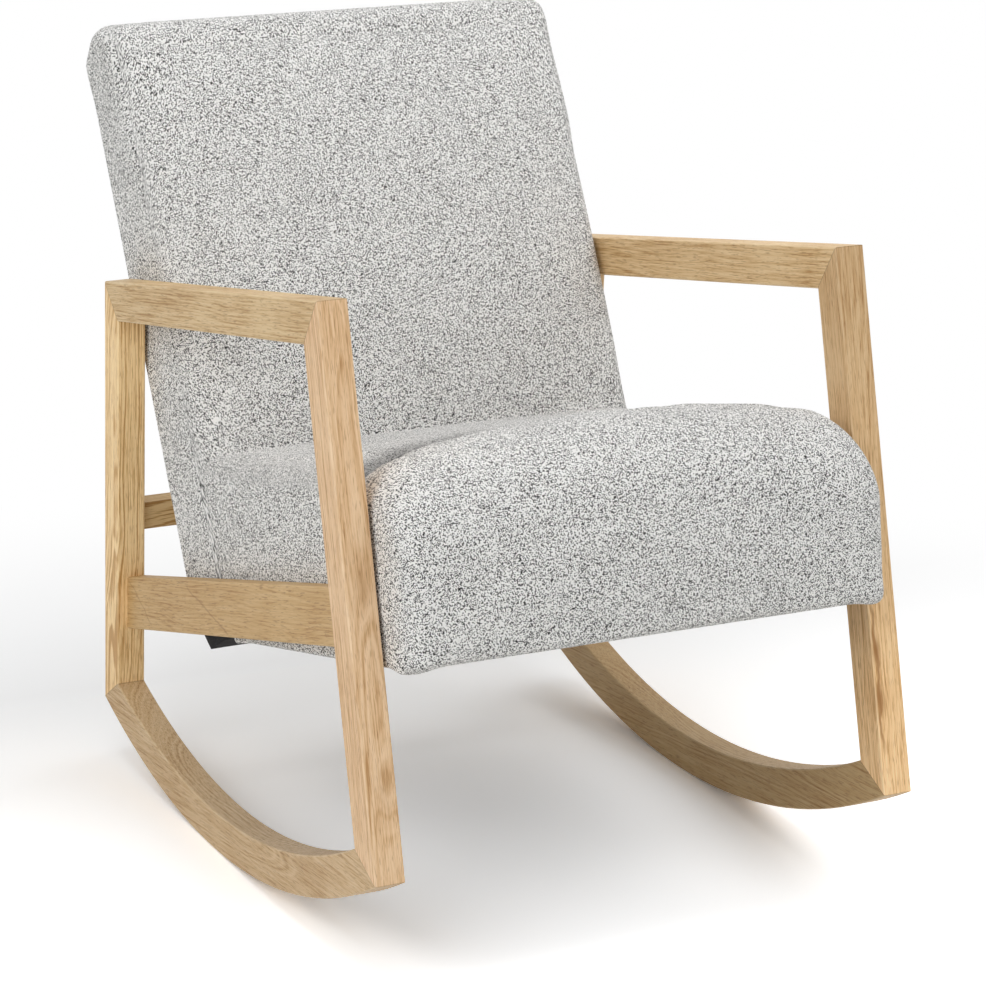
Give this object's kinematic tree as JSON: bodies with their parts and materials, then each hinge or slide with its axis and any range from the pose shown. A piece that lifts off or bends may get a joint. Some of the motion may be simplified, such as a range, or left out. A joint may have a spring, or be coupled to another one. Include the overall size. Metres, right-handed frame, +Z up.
{
  "type": "upholstered rocking chair",
  "caption": "Low rocking chair: a padded seat and a leaning padded back between two open wooden side frames whose lower members are the rockers.",
  "frame": {"origin": "the point on the floor midway between the rockers, where they touch it at rest", "axes": "+Z up, the chair faces -Y, +X is on the sitter's left"},
  "size_m": [0.61, 0.9074, 0.8421],
  "materials": {
    "oiled_oak": "satin",
    "beech": "matte",
    "plywood": "matte",
    "woven_cover": "matte",
    "black_dust_cloth": "matte",
    "foam": "matte",
    "zinc_plated_steel": "satin",
    "spacer_plastic": "matte",
    "webbing": "matte",
    "burlap": "matte"
  },
  "bodies": {
    "root": {"left_armrest": "oiled_oak", "left_front_leg": "oiled_oak", "left_rear_leg": "oiled_oak", "left_rocker": "oiled_oak", "left_seat_rail": "oiled_oak", "right_armrest": "oiled_oak", "right_front_leg": "oiled_oak", "right_rear_leg": "oiled_oak", "right_rocker": "oiled_oak", "right_seat_rail": "oiled_oak", "rear_stretcher": "oiled_oak", "left_frame_dowels": "beech", "right_frame_dowels": "beech", "seat_front_board": "plywood", "seat_rear_board": "plywood", "left_seat_board": "plywood", "right_seat_board": "plywood", "left_back_upright": "plywood", "right_back_upright": "plywood", "back_top_board": "plywood", "back_lower_board": "plywood", "back_foot_board": "plywood", "seat_corner_blocks": "plywood", "seat_cover": "woven_cover", "back_cover": "woven_cover", "back_outside_panel": "woven_cover", "seat_dust_cover": "black_dust_cloth", "back_foot_cover": "black_dust_cloth", "seat_foam": "foam", "back_foam": "foam", "left_threaded_inserts": "zinc_plated_steel", "right_threaded_inserts": "zinc_plated_steel", "frame_bolts": "zinc_plated_steel", "frame_bolt_washers": "zinc_plated_steel", "back_bolts": "zinc_plated_steel", "back_bolt_washers": "zinc_plated_steel", "seat_springs": "zinc_plated_steel", "spring_clips": "zinc_plated_steel", "frame_spacers": "spacer_plastic", "back_webbing": "webbing", "seat_burlap": "burlap"}
  },
  "joints": []
}
